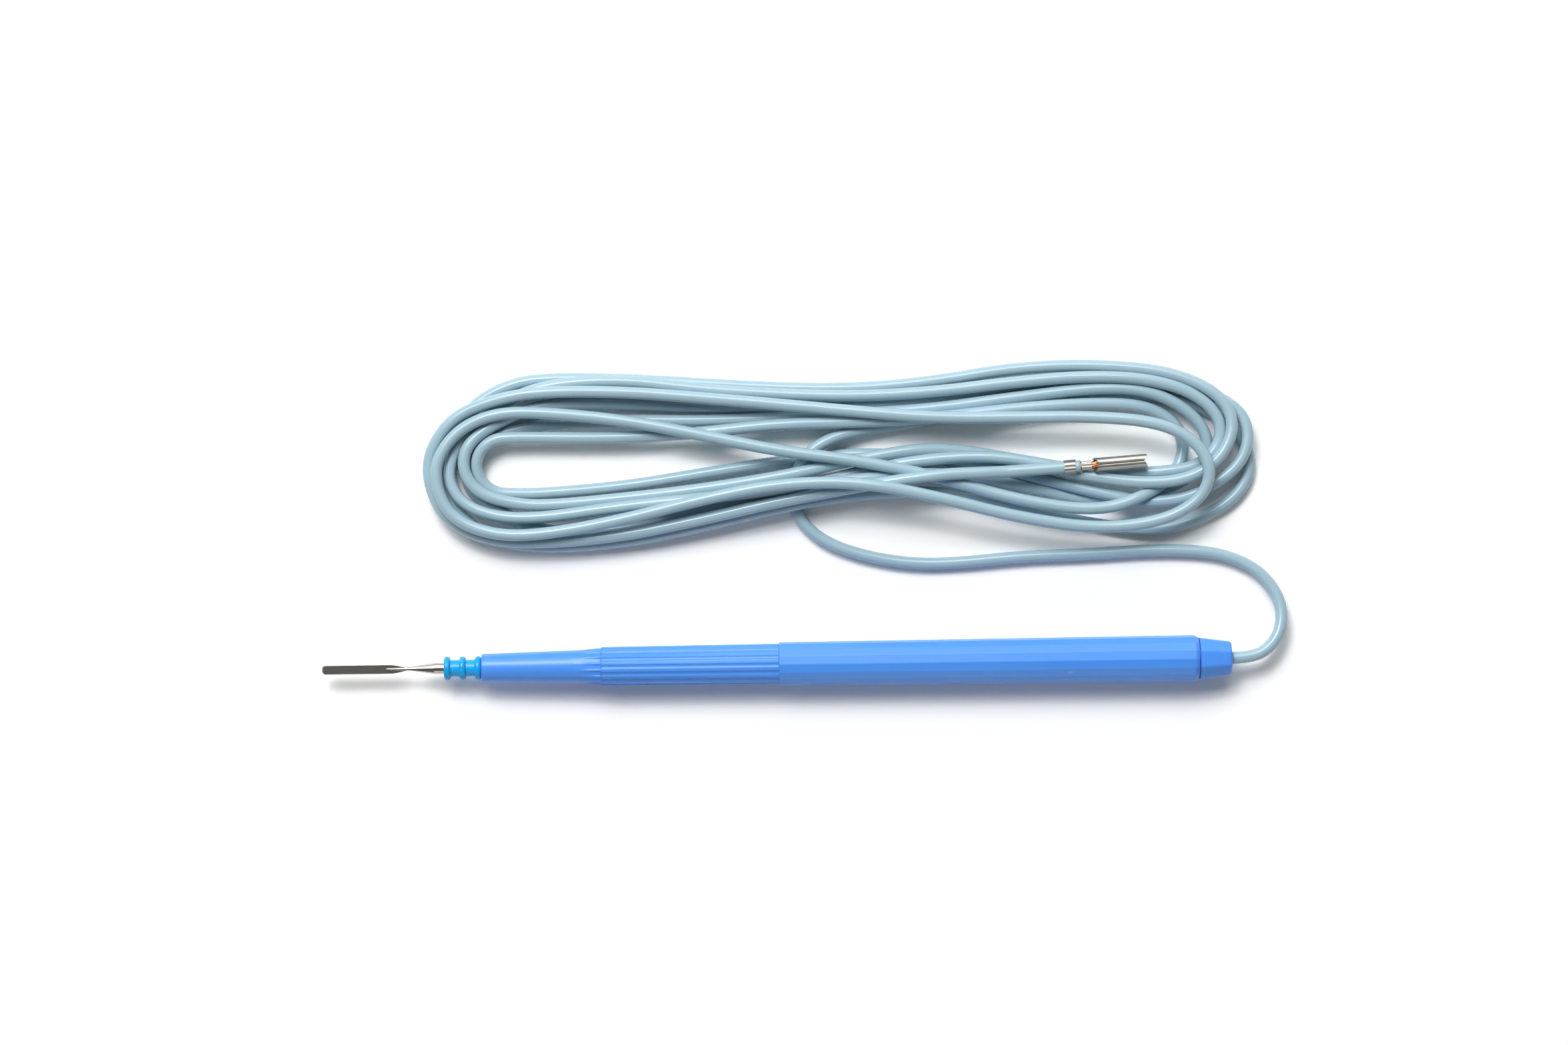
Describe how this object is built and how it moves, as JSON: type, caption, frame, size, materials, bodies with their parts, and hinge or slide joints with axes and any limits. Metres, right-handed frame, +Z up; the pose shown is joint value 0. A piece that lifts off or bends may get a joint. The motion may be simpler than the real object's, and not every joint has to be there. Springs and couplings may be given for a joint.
{
  "type": "electrosurgical pencil",
  "caption": "Switchless electrosurgical pencil with a pull-out blade electrode, fluted grip, faceted barrel and a hanked single-core cord that ends in a rolled crimp contact.",
  "frame": {"origin": "on the floor under the middle of the pencil's length, cord left out", "axes": "+X along the pencil from the blade's tip to the cord, +Y towards the hank of cord, +Z up"},
  "size_m": [0.2072, 0.0698, 0.0099],
  "materials": {
    "handle_blue": "moulded satin",
    "collar_cyan": "moulded gloss",
    "blade_steel": "satin",
    "socket_brass": "turned",
    "spring_steel": "drawn",
    "copper": "drawn strands",
    "cord_jacket": "extruded satin",
    "tinned_contact": "tinned"
  },
  "bodies": {
    "handle": {"front_grip": "handle_blue", "barrel": "handle_blue", "end_cap": "handle_blue", "socket_contact": "socket_brass", "socket_clip": "spring_steel", "inner_conductor": "copper", "inner_cord": "cord_jacket", "cord_stop": "socket_brass", "cord_lead": "cord_jacket", "cord_hank": "cord_jacket", "cord_tail": "cord_jacket", "terminal": "tinned_contact", "terminal_strands": "copper"},
    "electrode": {"electrode": "blade_steel", "electrode_collar": "collar_cyan"}
  },
  "joints": [
    {"name": "electrode_pull", "type": "slide", "parent": "handle", "child": "electrode", "axis": [-1, 0, 0], "range_m": [0, 0.032]}
  ]
}
